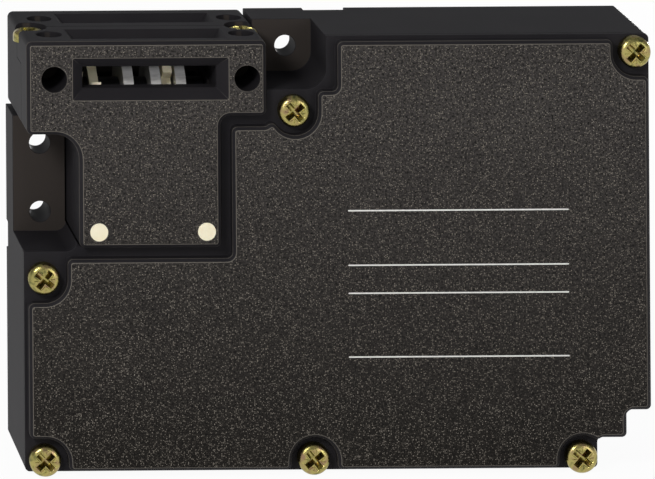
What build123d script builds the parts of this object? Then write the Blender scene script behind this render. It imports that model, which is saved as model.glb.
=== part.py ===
from build123d import *
from math import cos, pi, radians, sin
import os

# Overall size of the switch body. X runs along the long side, Z is up, and the front looks towards -Y.
# Each sub-part is drawn from the lower left corner of the rear face, and written from that face's centre.
body_width = 130.0
body_height = 90.0
body_depth = 30.0
corner_radius = 1.0

# Housing walls and the joint between housing and cover, as depths behind the front face.
side_wall = 3.0
back_wall = 3.2
panel_step = 2.8
joint_depth = 4.3
cover_skin = 2.0
panel_inset = 0.7
panel_margin = 2.0
panel_edge = 0.7
panel_corner_radius = 1.2
seat_gap = 0.3
overrun = 5.0

# Stepped notch in the lower right corner, widths and heights from the corner.
notch_width = 11.2
notch_low_height = 6.3
notch_inner_width = 5.1
notch_height = 12.0

# Actuating head, a T in front view: X places, and drops below the top edge of the body.
head_left = 0.5
head_right = 50.2
head_top_drop = 0.3
left_arm_drop = 19.6
right_arm_drop = 15.9
stem_left = 11.3
stem_right = 40.7
stem_drop = 43.1
stem_web = 3.0
left_arm_fillet = 5.0
right_arm_fillet = 2.0
head_corner_radius = 1.2
head_edge = 0.8
shell_joint_depth = 8.9
bridge_drop = 6.7

# Tongue slots: the same funnel and slot in the front face and twice in the top face.
funnel_width = 32.4
funnel_height = 8.8
slot_width = 27.7
slot_height = 4.4
funnel_depth = 2.3
slot_drop = 8.1
slot_end_wall = 2.6
slot_offset = 7.5
slot_centre_x = 26.2
guide_hole_diameter = 5.3
guide_hole_spacing = 40.0
guide_hole_depth = 9.0

# Lugs with the mounting holes.
lug_thickness = 10.7
lug_hole_diameter = 4.4
lug_sink_diameter = 8.2
lug_sink_depth = 3.6
upper_lug_right = 63.0
upper_lug_drop = 11.0
upper_lug_radius = 4.3
left_lug_drop = 44.3
left_lug_radius = 2.5
upper_hole_x = 57.5
upper_hole_drop = 5.6
left_hole_x = 5.7
left_hole_upper_drop = 25.8
left_hole_lower_drop = 40.2

# Cover screws, pan head, and the round pads that they stand on.
screw_head_diameter = 6.6
screw_head_height = 2.4
screw_shank_diameter = 3.5
screw_length = 12.0
screw_pad_radius = 4.8
screw_boss_radius = 3.8
screw_crown = 1.1
screw_head_sides = 24
drive_width = 3.6
drive_slot = 0.8
drive_depth = 1.2
edge_screw_inset = 2.6
corner_screw_inset = 3.2
corner_screw_drop = 3.5
left_screw_x = 4.0
notch_screw_inset = 3.6
lower_screw_x = 59.7
lobby_screw_x = 56.1
lobby_screw_drop = 15.3
left_screw_drop = 49.7

# Gasket between cover and housing, offsets from the edge of the inner space.
gasket_offset = 0.6
gasket_width = 1.0
gasket_depth = 1.0

# Head screws, dowels and the pocket round each screw head.
head_screw_inset = 2.5
head_screw_sink = 0.5
head_screw_pocket = 3.7
head_screw_length = 11.0
dowel_diameter = 3.7
dowel_drop = 39.75
dowel_left_x = 15.3
dowel_right_x = 37.6
dowel_bite = 2.0

# Cam wheel in the head.
wheel_radius = 9.4
wheel_clearance = 1.0
wheel_left = 13.3
wheel_right = 39.1
hub_radius = 4.6
axle_radius = 2.0
axle_running_gap = 0.05
axle_seat = 0.8
wheel_travel = 55.0
lock_disc_x = 22.7
coding_disc_x = (28.4, 33.6)
disc_width = 2.1
actuating_cam_x = 31.05
driver_disc_x = 15.95
cam_width = 1.9
lock_floor_radius = 7.0
lug_clear_angle = 14.0
cam_start_radius = 5.4
cam_rise = 4.0
cam_lead_angle = 10.0
notch_floor = 6.2
driver_notch_angle = -145.0
driver_notch_width = 6.6
second_notch_angle = 127.0
cam_notch_angle = -124.0

# Lock bolt and plunger in the stem of the head.
bolt_width = 4.0
bolt_thickness = 3.0
bolt_gap = 0.4
bolt_travel = 2.4
guide_gap = 0.25
plunger_width = 4.9
plunger_thickness = 4.0
tip_width = 2.1
tip_radius = 1.0
tip_gap = 0.6
tip_length = 5.9
bolt_spring_radius = 3.0
bolt_spring_wire = 0.55
bolt_spring_length = 5.7
bolt_spring_gap = 0.2
plunger_spring_radius = 2.2
plunger_spring_wire = 0.5
long_spring_turns = 4
spring_touch = 0.05
spring_runs = 8
wire_sides = 6

# Solenoid under the lock bolt, with its clearances from the collar above and the wall below.
yoke_top_gap = 1.2
yoke_low_gap = 3.0
yoke_width = 22.0
yoke_depth = 16.0
yoke_plate = 2.0
armature_radius = 4.5
armature_reach = 1.3
core_gap = 0.3
bobbin_wall = 0.9
bobbin_gap = 0.35
flange_width = 17.4
flange_depth = 15.6
flange_plate = 1.0
winding_radius = 7.6
push_rod_radius = 1.5
collar_radius = 4.0
collar_height = 1.6
bar_height = 1.5
bar_depth = 5.0
bar_offset = 2.5

# Contact blocks, one moved by the tongue's cam and one by the lock bolt.
block_width = 24.0
block_space = 4.0
block_top_gap = 1.7
block_rim = 5.7
block_floor = 1.4
block_low_gap = 0.5
carrier_foot = 1.5
tab_setback = 6.0
tongue_block_x = 50.0
carrier_width = 8.0
carrier_depth = 10.0
carrier_gap = 0.4
level_pitch = 7.6
bridge_length = 18.0
bridge_width = 3.2
strip_thickness = 0.8
tip_contact_radius = 1.2
tip_contact_height = 0.6
contact_gap = 0.3
contact_spring_radius = 1.1
contact_spring_wire = 0.35
contact_spring_length = 2.3
contact_spring_turns = 2
window_space = 2.4
tab_height = 5.4
tab_width = 5.0
arm_top_gap = 1.7
arm_height = 3.5
arm_depth = 4.0
arm_offset = 5.0
terminal_head_radius = 2.4
terminal_head_height = 1.8
terminal_shank_radius = 1.4
terminal_shank_length = 3.4
terminal_slot = 0.7
small_sides = 10
coil_terminal_inset = 26.0
coil_terminal_drop = 35.0
coil_terminal_size = 18.0
coil_terminal_depth = 15.0

# Cable entries with an M16 x 1.5 thread, modelled at the thread's core diameter.
entry_core_diameter = 14.5
entry_boss_size = 18.0
entry_length = 7.0
entry_web = 1.0
entry_offset = 0.5
lower_entry_inset = 29.0
side_entry_drops = (30.0, 56.0)

# Relief grooves across the edge of the back face.
relief_depth = 2.2
relief_length = 6.0
top_relief = (63.0, 71.8)
left_relief = (44.5, 50.2)

# Places that follow from the sizes above.
wheel_drop = slot_drop + slot_offset
stem_depth = body_depth - stem_web
slot_end_depth = body_depth - slot_end_wall
wheel_depth = body_depth / 2
wheel_y = wheel_depth - body_depth
wheel_z = body_height - wheel_drop
head_screw_xs = (head_left + head_screw_inset, head_right - head_screw_inset)
guide_hole_xs = (slot_centre_x - guide_hole_spacing / 2, slot_centre_x + guide_hole_spacing / 2)
cavity_top_drop = left_lug_drop + side_wall
contact_depth = wheel_depth
entry_depth = wheel_depth + entry_offset
lower_entry_x = body_width - lower_entry_inset
coil_terminal_x = body_width - coil_terminal_inset
collar_drop = cavity_top_drop + bolt_spring_length + bolt_spring_gap
bar_drop = collar_drop + collar_height
bar_front = wheel_depth + bar_offset
yoke_top_drop = bar_drop + bar_height + yoke_top_gap
lower_space = body_height - side_wall
yoke_low_drop = lower_space - yoke_low_gap
block_top_drop = bar_drop + bar_height + block_top_gap
lock_block_x = tongue_block_x + block_width + block_space
tab_depth = contact_depth - tab_setback
arm_drop = cavity_top_drop + arm_top_gap
arm_front = wheel_depth - arm_offset
cover_screw_places = (
    (lobby_screw_x, lobby_screw_drop),
    (body_width - corner_screw_inset, corner_screw_drop),
    (left_screw_x, left_screw_drop),
    (left_screw_x, body_height - edge_screw_inset),
    (lower_screw_x, body_height - edge_screw_inset),
    (body_width - notch_width - notch_screw_inset, body_height - edge_screw_inset),
)
head_screw_y = wheel_y
entry_align = (Align.CENTER, Align.CENTER, Align.MIN)


def layer(depth):
    """Plane facing the viewer, a depth behind the front face."""
    return Plane(origin=(0, depth - body_depth, 0), x_dir=(1, 0, 0), z_dir=(0, -1, 0))


def slab(profile, front, back):
    """Front-view profile made solid between two depths."""
    return extrude(layer(back) * profile, amount=back - front)


def tile(profile, left, right):
    """Side-view profile (Y, Z) made solid between two X places."""
    return extrude(Plane.YZ.offset(left) * profile, amount=right - left)


def post(profile, low, high):
    """Plan profile (X, Y) made solid between two heights."""
    return extrude(Plane.XY.offset(low) * profile, amount=high - low)


def area(left, right, top_drop, low_drop):
    """Front-view rectangle between two X places and two drops below the top edge."""
    centre = Pos((left + right) / 2, body_height - (top_drop + low_drop) / 2)
    return centre * Rectangle(right - left, low_drop - top_drop)


def block(left, right, top_drop, low_drop, front, back):
    """Box between X places, drops and depths."""
    return slab(area(left, right, top_drop, low_drop), front, back)


def disc_at(x, drop, radius):
    """Front-view circle at an X place and a drop."""
    return Pos(x, body_height - drop) * Circle(radius)


def round_corners(profile, radius, places):
    """Profile with a radius on the corners nearest to the given (X, drop) places."""
    chosen = []
    for x, drop in places:
        spot = Vector(x, body_height - drop)
        chosen.append(min(profile.vertices(), key=lambda v: (Vector(v.X, v.Y) - spot).length))
    return fillet(chosen, radius)


def soften(profile, radius):
    """Profile with every corner, inner and outer, rounded by one radius."""
    opened = offset(offset(profile, -radius), 2 * radius)
    return offset(opened, -radius)


def small_round(radius):
    """Polygon that stands for a circle on the small pieces that repeat."""
    return RegularPolygon(radius, small_sides)


def coil_spring(radius, wire, length, turns):
    """Compression spring standing on the XY plane, drawn as short straight runs of wire."""
    rise = length - wire
    last = turns * spring_runs
    points = []
    for step in range(last + 1):
        turn = 2 * pi * step / spring_runs
        points.append((radius * cos(turn), radius * sin(turn), wire / 2 + rise * step / last))
    path = Polyline(*points)
    section = Plane(origin=path @ 0, z_dir=path % 0) * RegularPolygon(wire / 2, wire_sides)
    return sweep(section, path=path, transition=Transition.RIGHT)


def body_outline():
    """Rectangle of the body with the stepped notch in the lower right corner."""
    plate = Pos(body_width / 2, body_height / 2) * Rectangle(body_width, body_height)
    low_step = Pos(body_width - notch_width / 2, notch_low_height / 2) * Rectangle(notch_width, notch_low_height)
    inner = Pos(body_width - notch_inner_width / 2, notch_height / 2)
    plate = plate - low_step - inner * Rectangle(notch_inner_width, notch_height)
    return fillet(plate.vertices(), corner_radius)


def head_outline():
    """T-shaped front view of the actuating head."""
    left_arm = area(head_left, stem_left, head_top_drop, left_arm_drop)
    right_arm = area(stem_right, head_right, head_top_drop, right_arm_drop)
    stem = area(stem_left, stem_right, head_top_drop, stem_drop)
    shape = left_arm + stem + right_arm
    shape = round_corners(shape, left_arm_fillet, [(stem_left, left_arm_drop)])
    shape = round_corners(shape, right_arm_fillet, [(stem_right, right_arm_drop)])
    corners = [
        (head_left, head_top_drop),
        (head_right, head_top_drop),
        (head_left, left_arm_drop),
        (head_right, right_arm_drop),
        (stem_left, stem_drop),
        (stem_right, stem_drop),
    ]
    return round_corners(shape, head_corner_radius, corners)


def head_bay():
    """Front view of the open corner that takes the head, with a gap all round it."""
    bay = offset(head_outline(), seat_gap)
    beside = area(-1, stem_left, -1, left_arm_drop + seat_gap)
    return bay + beside + area(-1, head_right + seat_gap, -1, head_top_drop + head_corner_radius * 2)


def stem_bay():
    """Front view of the bay that takes the stem of the head."""
    return head_bay() & area(stem_left - seat_gap, body_width, -1, body_height)


def arm_bay():
    """Front view of the part of the bay that goes through the whole depth."""
    return head_bay() & area(-1, body_width, -1, left_arm_drop + seat_gap)


def lug_recesses():
    """Front view of the recesses in front of the two lugs."""
    left = area(-overrun, stem_left, left_arm_drop - overrun, left_lug_drop)
    left = round_corners(left, left_lug_radius, [(stem_left, left_lug_drop)])
    upper = area(head_right - 1, upper_lug_right, -overrun, upper_lug_drop)
    upper = round_corners(upper, upper_lug_radius, [(upper_lug_right, upper_lug_drop)])
    return left, upper


def joint_outline():
    """Front view of the joint between the housing and its cover."""
    left, upper = lug_recesses()
    return body_outline() - stem_bay() - arm_bay() - left - upper


def screw_pads(radius):
    """Front view of the round pads under the cover screws, run out to the edges of the body."""
    corner, left, low_left, low, notch = cover_screw_places[1:]
    pads = disc_at(lobby_screw_x, lobby_screw_drop, radius)
    for x, drop in cover_screw_places[1:]:
        pads += disc_at(x, drop, radius)
    pads += area(corner[0] - radius, body_width, 0, corner[1])
    pads += area(corner[0], body_width, 0, corner[1] + radius)
    pads += area(0, left[0], 0, left[1] + radius)
    pads += area(0, left[0] + radius, 0, left[1])
    pads += area(0, low_left[0], low_left[1] - radius, body_height)
    pads += area(0, low_left[0] + radius, low_left[1], body_height)
    pads += area(low[0] - radius, low[0] + radius, low[1], body_height)
    return pads + area(notch[0] - radius, notch[0] + radius, notch[1], body_height)


def inner_space(grow=0.0):
    """Front view of the space for the works, grown on all its sides, with a boss left at each screw."""
    wall_left = side_wall - grow
    wall_right = body_width - side_wall + grow
    low = lower_space + grow
    space = area(wall_left, wall_right, cavity_top_drop - grow, low)
    lobby_top = lobby_screw_drop + screw_boss_radius + seat_gap
    space += area(stem_right + seat_gap + wall_left, wall_right, lobby_top - grow, low)
    space += area(upper_lug_right + wall_left, wall_right, wall_left, low)
    notch_right = wall_right - notch_width
    space -= area(notch_right, body_width, low - notch_low_height, body_height)
    inner_right = wall_right - notch_inner_width
    space -= area(inner_right, body_width, low - notch_height, body_height)
    return space - screw_pads(screw_boss_radius - grow)


def make_housing():
    """Moulded tub with lugs, screw bosses and threaded cable entries."""
    left_recess, upper_recess = lug_recesses()
    lug_plane = body_depth - lug_thickness
    tub = slab(body_outline(), joint_depth, body_depth)
    tub -= slab(arm_bay(), 0, body_depth + 1)
    tub -= slab(stem_bay(), 0, stem_depth)
    tub -= slab(left_recess, 0, lug_plane)
    tub -= slab(upper_recess, 0, lug_plane)
    tub -= slab(inner_space(), 0, body_depth - back_wall)
    tub -= slab(gasket_path(), joint_depth - 1, joint_depth + gasket_depth)
    for x, drop in cover_screw_places:
        tub -= slab(disc_at(x, drop, screw_shank_diameter / 2), 0, panel_step + screw_length)
    sunk_holes = ((upper_hole_x, upper_hole_drop), (left_hole_x, left_hole_upper_drop))
    for x, drop in sunk_holes:
        tub -= slab(disc_at(x, drop, lug_hole_diameter / 2), 0, body_depth + 1)
        tub -= slab(disc_at(x, drop, lug_sink_diameter / 2), body_depth - lug_sink_depth, body_depth + 1)
    tub -= slab(disc_at(left_hole_x, left_hole_lower_drop, lug_hole_diameter / 2), 0, body_depth + 1)
    for x in (dowel_left_x, dowel_right_x):
        tub -= slab(disc_at(x, dowel_drop, dowel_diameter / 2), 0, stem_depth + dowel_bite)
    for place in cable_entries():
        boss = place * Box(entry_boss_size, entry_boss_size, entry_length + entry_web, align=entry_align)
        bore = place * Cylinder(entry_core_diameter / 2, entry_length, align=entry_align)
        tub = tub + boss - bore
    tub -= stem_passages(stem_drop - 1, cavity_top_drop + 1)
    relief_front = body_depth - relief_depth
    tub -= block(top_relief[0], top_relief[1], -1, relief_length, relief_front, body_depth + 1)
    tub -= block(-1, relief_length, left_relief[0], left_relief[1], relief_front, body_depth + 1)
    return tub


def cable_entries():
    """Places at the outer face of each cable entry, with Z pointing inwards."""
    entry_y = entry_depth - body_depth
    low = Plane(origin=(lower_entry_x, entry_y, 0), z_dir=(0, 0, 1))
    sides = []
    for drop in side_entry_drops:
        sides.append(Plane(origin=(body_width, entry_y, body_height - drop), z_dir=(-1, 0, 0)))
    return [low] + sides


def stem_passages(top_drop, low_drop):
    """Guide passages of the lock bolt and the plunger between two drops."""
    bolt = block(
        lock_disc_x - bolt_width / 2 - guide_gap,
        lock_disc_x + bolt_width / 2 + guide_gap,
        top_drop,
        low_drop,
        wheel_depth - bolt_thickness / 2 - guide_gap,
        wheel_depth + bolt_thickness / 2 + guide_gap,
    )
    plunger = block(
        actuating_cam_x - plunger_width / 2 - guide_gap,
        actuating_cam_x + plunger_width / 2 + guide_gap,
        top_drop,
        low_drop,
        wheel_depth - plunger_thickness / 2 - guide_gap,
        wheel_depth + plunger_thickness / 2 + guide_gap,
    )
    return bolt + plunger


def gasket_path():
    """Front view of the gasket and of its groove."""
    return inner_space(gasket_offset + gasket_width) - inner_space(gasket_offset)


def panel_outline():
    """Front view of the raised panel of the cover, cut back round each screw."""
    panel = offset(body_outline(), -panel_inset)
    panel -= area(-1, stem_right + seat_gap + panel_margin, -1, stem_drop + seat_gap + panel_margin)
    panel -= area(-1, head_right, -1, right_arm_drop + seat_gap + panel_margin)
    panel -= area(-1, upper_lug_right + panel_margin, -1, upper_lug_drop)
    lobby_right = lobby_screw_x + screw_pad_radius
    panel -= area(-1, lobby_right, -1, lobby_screw_drop)
    panel -= screw_pads(screw_pad_radius)
    return soften(panel, panel_corner_radius)


def make_cover():
    """Moulded cover: a flat flange and a raised panel, hollow behind."""
    flange = slab(joint_outline(), panel_step, joint_depth)
    panel = slab(panel_outline(), 0, panel_step)
    rim = panel.faces().sort_by(Axis.Y)[0].edges()
    cover = flange + chamfer(rim, panel_edge)
    hollow = offset(panel_outline(), -cover_skin) & inner_space(-seat_gap)
    cover -= slab(hollow, cover_skin, joint_depth + 1)
    for x, drop in cover_screw_places:
        cover -= slab(disc_at(x, drop, screw_shank_diameter / 2 + seat_gap), -1, joint_depth + 1)
    return cover


def pan_screw(head_radius, head_height, shank_radius, length):
    """Pan-head screw along Z, its head above the XY plane and its shank below."""
    head = post(RegularPolygon(head_radius, screw_head_sides), 0, head_height)
    head = chamfer(head.faces().sort_by(Axis.Z)[-1].edges(), screw_crown)
    cross = Rectangle(drive_width, drive_slot) + Rectangle(drive_slot, drive_width)
    recess = post(cross, head_height - drive_depth, head_height + 1)
    return head + post(small_round(shank_radius), -length, 0) - recess


def make_cover_screws():
    """The six cover screws with their heads on the flange."""
    radius = screw_head_diameter / 2
    screw = pan_screw(radius, screw_head_height, screw_shank_diameter / 2, screw_length)
    return [layer(panel_step) * (Pos(x, body_height - drop) * screw) for x, drop in cover_screw_places]


def funnel():
    """Funnel and slot cut along Z from the XY plane downwards."""
    mouth = Rectangle(funnel_width, funnel_height)
    throat = Plane.XY.offset(-funnel_depth) * Rectangle(slot_width, slot_height)
    return loft([mouth.face(), throat.face()])


def head_cuts():
    """Everything that is cut from both shells of the head."""
    slot_left = slot_centre_x - slot_width / 2
    slot_right = slot_centre_x + slot_width / 2
    half = slot_height / 2
    slot_z = body_height - slot_drop
    head_z = body_height - head_top_drop
    front_funnel = layer(0) * (Pos(slot_centre_x, slot_z) * funnel())
    cuts = [front_funnel, block(slot_left, slot_right, slot_drop - half, slot_drop + half, -1, slot_end_depth)]
    for x in guide_hole_xs:
        cuts.append(slab(disc_at(x, slot_drop, guide_hole_diameter / 2), -1, guide_hole_depth + 4))
    for depth in (wheel_depth - slot_offset, wheel_depth + slot_offset):
        y = depth - body_depth
        cuts.append(Pos(slot_centre_x, y, head_z) * funnel())
        cuts.append(block(slot_left, slot_right, -1, right_arm_drop - 0.7, depth - half, depth + half))
        channel_low = wheel_drop + wheel_radius + wheel_clearance
        cuts.append(block(wheel_left - seat_gap, wheel_right + seat_gap, 0, channel_low, depth - half, depth + half))
        for x in guide_hole_xs:
            hole = Pos(x, y) * Circle(guide_hole_diameter / 2)
            cuts.append(post(hole, head_z - guide_hole_depth, head_z + 1))
    wheel_room = Pos(wheel_y, wheel_z) * Circle(wheel_radius + wheel_clearance)
    cuts.append(tile(wheel_room, wheel_left - seat_gap, wheel_right + seat_gap))
    axle_bed = Pos(wheel_y, wheel_z) * Circle(axle_radius)
    axle_bed += Pos(wheel_y - wheel_clearance * 4, wheel_z) * Rectangle(wheel_clearance * 8, axle_radius * 2)
    cuts.append(tile(axle_bed, wheel_left - seat_gap - axle_seat, wheel_right + seat_gap + axle_seat))
    cuts.append(stem_passages(wheel_drop + wheel_radius, stem_drop + 1))
    for x in (dowel_left_x, dowel_right_x):
        cuts.append(slab(disc_at(x, dowel_drop, dowel_diameter / 2), -1, body_depth))
    pocket_low = head_z - head_screw_sink - screw_head_height
    for x in head_screw_xs:
        spot = Pos(x, head_screw_y)
        cuts.append(post(spot * Circle(head_screw_pocket), pocket_low, head_z + 1))
        cuts.append(post(spot * Circle(screw_shank_diameter / 2), pocket_low - head_screw_length, head_z))
    return cuts


def head_bridge():
    """Front view of the upper strip of the head that belongs to the front shell."""
    return head_outline() & area(0, body_width, 0, bridge_drop)


def make_head_shells():
    """Front and rear shells of the actuating head."""
    front = slab(head_outline(), 0, shell_joint_depth)
    front = chamfer(front.faces().sort_by(Axis.Y)[0].edges(), head_edge)
    front += slab(head_bridge(), shell_joint_depth, wheel_depth)
    arms = head_outline() & area(0, body_width, 0, left_arm_drop)
    rear = slab(head_outline(), shell_joint_depth, stem_depth)
    rear += slab(arms, stem_depth - 1, body_depth)
    left_gap = area(-1, stem_left - seat_gap, left_arm_drop, body_height)
    rear -= slab(left_gap, body_depth - lug_thickness - seat_gap, body_depth + 1)
    rear -= slab(head_bridge(), shell_joint_depth - 1, wheel_depth)
    for cut in head_cuts():
        front -= cut
        rear -= cut
    return front, rear


def make_head_screws():
    """The two screws in the pockets of the head's top face."""
    radius = screw_head_diameter / 2
    screw = pan_screw(radius, screw_head_height, screw_shank_diameter / 2, head_screw_length)
    seat = body_height - head_top_drop - head_screw_sink - screw_head_height
    return [Pos(x, head_screw_y, seat) * screw for x in head_screw_xs]


def make_head_dowels():
    """The two dowels that pin the head to the housing."""
    dowels = []
    for x in (dowel_left_x, dowel_right_x):
        dowels.append(slab(disc_at(x, dowel_drop, dowel_diameter / 2), 0, stem_depth + dowel_bite))
    return dowels


def wheel_disc(profile, x, width):
    """Disc profile round the wheel axis, made solid about an X place."""
    ring = Pos(wheel_y, wheel_z) * profile
    return tile(ring, x - width / 2, x + width / 2)


def sector(start, end, reach):
    """Wedge between two angles, measured from straight down towards the back."""
    steps = 6
    points = [(0, 0)]
    for step in range(steps + 1):
        angle = radians(start + (end - start) * step / steps)
        points.append((reach * sin(angle), -reach * cos(angle)))
    return make_face(Polyline(*points, close=True))


def make_lock_disc():
    """Steel disc whose lug the lock bolt catches."""
    disc = Circle(wheel_radius)
    lug_start = lug_clear_angle
    lug_end = wheel_travel - lug_clear_angle
    floor = Circle(wheel_radius + 1) - Circle(lock_floor_radius)
    before = floor & sector(lug_start - wheel_travel, lug_start, wheel_radius * 2)
    after = floor & sector(lug_end, lug_end + wheel_travel, wheel_radius * 2)
    return wheel_disc(disc - before - after - Circle(hub_radius), lock_disc_x, disc_width)


def make_coding_discs():
    """Steel discs that pass through the cut-outs of the tongue."""
    ring = Circle(wheel_radius) - Circle(hub_radius)
    return [wheel_disc(ring, x, disc_width) for x in coding_disc_x]


def tongue_notch(centre_angle, width):
    """Notch for a cross bar of the tongue."""
    reach = wheel_radius + 2
    cut = Pos(0, -(notch_floor + reach) / 2) * Rectangle(width, reach - notch_floor)
    return Rot(0, 0, centre_angle) * cut


def make_driver_disc():
    """Plastic disc with the notch that the tongue turns."""
    ring = Circle(wheel_radius) - Circle(hub_radius)
    ring -= tongue_notch(driver_notch_angle, driver_notch_width)
    ring -= tongue_notch(second_notch_angle, slot_height)
    return wheel_disc(ring, driver_disc_x, cam_width)


def make_actuating_cam():
    """Plastic cam whose spiral edge presses the plunger down as the wheel turns."""
    steps = 12
    sweep_angle = wheel_travel + cam_lead_angle
    points = []
    for step in range(steps + 1):
        angle = -cam_lead_angle + (sweep_angle + cam_lead_angle) * step / steps
        reach = cam_start_radius + cam_rise * angle / wheel_travel
        points.append((reach * sin(radians(angle)), -reach * cos(radians(angle))))
    spiral = Spline(*points)
    close_line = Polyline(spiral @ 1, (0, 0), spiral @ 0)
    lobe = make_face(spiral + close_line)
    upper = Circle(wheel_radius) - sector(-90, sweep_angle, wheel_radius * 2)
    upper -= tongue_notch(cam_notch_angle, slot_height)
    return wheel_disc(upper + Circle(hub_radius + 0.4) + lobe - Circle(hub_radius), actuating_cam_x, cam_width)


def make_cam_hub():
    """Hub that carries the discs on the axle, with a collar between them."""
    hub = wheel_disc(Circle(hub_radius), (wheel_left + wheel_right) / 2, wheel_right - wheel_left)
    bore = Circle(axle_radius + axle_running_gap)
    return hub - wheel_disc(bore, (wheel_left + wheel_right) / 2, body_width)


def make_cam_axle():
    """Steel axle seated in the side walls of the head."""
    rod = Pos(wheel_y, wheel_z) * Circle(axle_radius)
    return tile(rod, wheel_left - seat_gap - axle_seat, wheel_right + seat_gap + axle_seat)


def upright(x, y, radius, top_drop, low_drop):
    """Round bar along Z between two drops."""
    return post(Pos(x, y) * Circle(radius), body_height - low_drop, body_height - top_drop)


def make_lock_bolt():
    """Flat steel bolt with a round neck and a collar for its spring."""
    top = wheel_drop + wheel_radius + bolt_gap
    half = bolt_width / 2
    neck_drop = cavity_top_drop + bolt_travel + 0.4
    front = wheel_depth - bolt_thickness / 2
    blade = block(lock_disc_x - half, lock_disc_x + half, top, neck_drop, front, front + bolt_thickness)
    blade = chamfer(blade.faces().sort_by(Axis.Z)[-1].edges(), 0.3)
    neck = upright(lock_disc_x, wheel_y, push_rod_radius, neck_drop, collar_drop)
    collar = upright(lock_disc_x, wheel_y, collar_radius, collar_drop, collar_drop + collar_height)
    return blade + neck + collar


def make_push_rod():
    """Rod from the collar of the bolt through the core to the armature."""
    return upright(lock_disc_x, wheel_y, push_rod_radius, bar_drop, armature_top())


def core_length():
    """Length of the fixed pole, a third of the coil's room beside the travel."""
    return (yoke_low_drop - yoke_top_drop - 2 * yoke_plate - bolt_travel) / 3


def armature_top():
    """Drop of the armature's pole face at rest."""
    return yoke_top_drop + yoke_plate + core_length() + bolt_travel + core_gap


def make_armature():
    """Steel plunger of the solenoid."""
    bar = upright(lock_disc_x, wheel_y, armature_radius, armature_top(), yoke_low_drop + armature_reach)
    return chamfer(bar.edges().sort_by(Axis.Z)[0], 0.5)


def make_solenoid_yoke():
    """Steel frame round the coil, open front and back."""
    left = lock_disc_x - yoke_width / 2
    right = lock_disc_x + yoke_width / 2
    low_drop = yoke_low_drop
    ring = area(left, right, yoke_top_drop, low_drop)
    ring -= area(left + yoke_plate, right - yoke_plate, yoke_top_drop + yoke_plate, low_drop - yoke_plate)
    frame = slab(ring, wheel_depth - yoke_depth / 2, wheel_depth + yoke_depth / 2)
    frame -= upright(lock_disc_x, wheel_y, push_rod_radius + bobbin_gap, yoke_top_drop - 1, yoke_top_drop + 3)
    return frame - upright(lock_disc_x, wheel_y, armature_radius + bobbin_gap, low_drop - 3, low_drop + 1)


def make_fixed_core():
    """Fixed pole piece that the push rod runs through."""
    top = yoke_top_drop + yoke_plate
    low = top + core_length()
    core = upright(lock_disc_x, wheel_y, armature_radius + bobbin_gap, top, low)
    return core - upright(lock_disc_x, wheel_y, push_rod_radius + bobbin_gap, top - 1, low + 1)


def make_coil():
    """Bobbin and its copper winding."""
    top = yoke_top_drop + yoke_plate
    low = yoke_low_drop - yoke_plate
    inner = armature_radius + bobbin_gap
    flange = Pos(lock_disc_x, wheel_y) * Rectangle(flange_width, flange_depth)
    bobbin = upright(lock_disc_x, wheel_y, inner + bobbin_wall, top, low)
    bobbin += post(flange, body_height - top - flange_plate, body_height - top)
    bobbin += post(flange, body_height - low, body_height - low + flange_plate)
    bobbin -= upright(lock_disc_x, wheel_y, inner, top - 1, low + 1)
    winding = upright(lock_disc_x, wheel_y, winding_radius, top + flange_plate, low - flange_plate)
    winding -= upright(lock_disc_x, wheel_y, inner + bobbin_wall, top, low)
    return bobbin, winding


def make_bolt_spring():
    """Return spring between the housing and the collar of the bolt."""
    spring = coil_spring(bolt_spring_radius, bolt_spring_wire, bolt_spring_length, long_spring_turns)
    return Pos(lock_disc_x, wheel_y, body_height - collar_drop) * spring


def make_lock_bar():
    """Steel bar under the collar that carries the lock's motion to its contacts."""
    low = bar_drop + bar_height
    front = wheel_depth - collar_radius
    back = bar_front + bar_depth
    pad = block(lock_disc_x - collar_radius, lock_disc_x + collar_radius, bar_drop, low, front, back)
    bar = block(lock_disc_x, lock_block_x + carrier_width / 2, bar_drop, low, bar_front, back)
    return pad + bar - upright(lock_disc_x, wheel_y, push_rod_radius, bar_drop - 1, low + 1)


def make_plunger():
    """Plunger with a round-nosed tip under the cam and an arm over the contacts."""
    tip_top = wheel_drop + cam_start_radius + tip_gap
    half = plunger_width / 2
    depth_half = plunger_thickness / 2
    nose_z = body_height - tip_top - tip_radius
    nose = Pos(wheel_y, nose_z) * Circle(tip_radius)
    nose += Pos(wheel_y, nose_z - tip_length / 2) * Rectangle(tip_radius * 2, tip_length)
    tip = tile(nose, actuating_cam_x - tip_width / 2, actuating_cam_x + tip_width / 2)
    stalk_top = tip_top + tip_length
    low = arm_drop + arm_height
    front = wheel_depth - depth_half
    stalk = block(actuating_cam_x - half, actuating_cam_x + half, stalk_top, low, front, front + plunger_thickness)
    arm_left = actuating_cam_x - half
    arm_right = tongue_block_x + carrier_width / 2
    arm = block(arm_left, arm_right, arm_drop, low, arm_front, arm_front + arm_depth)
    return tip + stalk + arm


def level_count():
    """Number of contact bridges that fit over the lower cable entry, one at least."""
    room = body_height - entry_length - entry_web - block_low_gap - block_top_drop
    return max(1, int((room - block_rim) / level_pitch))


def block_low_drop():
    """Drop of the lower end of the contact blocks."""
    return block_top_drop + block_rim + level_count() * level_pitch


def bridge_places(x, travel):
    """Level heights, and for each the centre height of its fixed strips and the side that they are on."""
    half = strip_thickness / 2
    reach = 2 * half + 2 * tip_contact_height
    up = travel > 0
    near = reach + contact_gap
    far = reach + contact_gap + abs(travel)
    top_z = body_height - block_top_drop - half - (far if up else near) - 0.8
    last = level_count() - 1
    places = []
    for number in range(level_count()):
        z = top_z - number * level_pitch
        is_far = number == 0 if up else number == last
        side = (1 if is_far else -1) * (1 if up else -1)
        places.append((z, z + side * (far if is_far else near), side))
    return places


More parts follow.
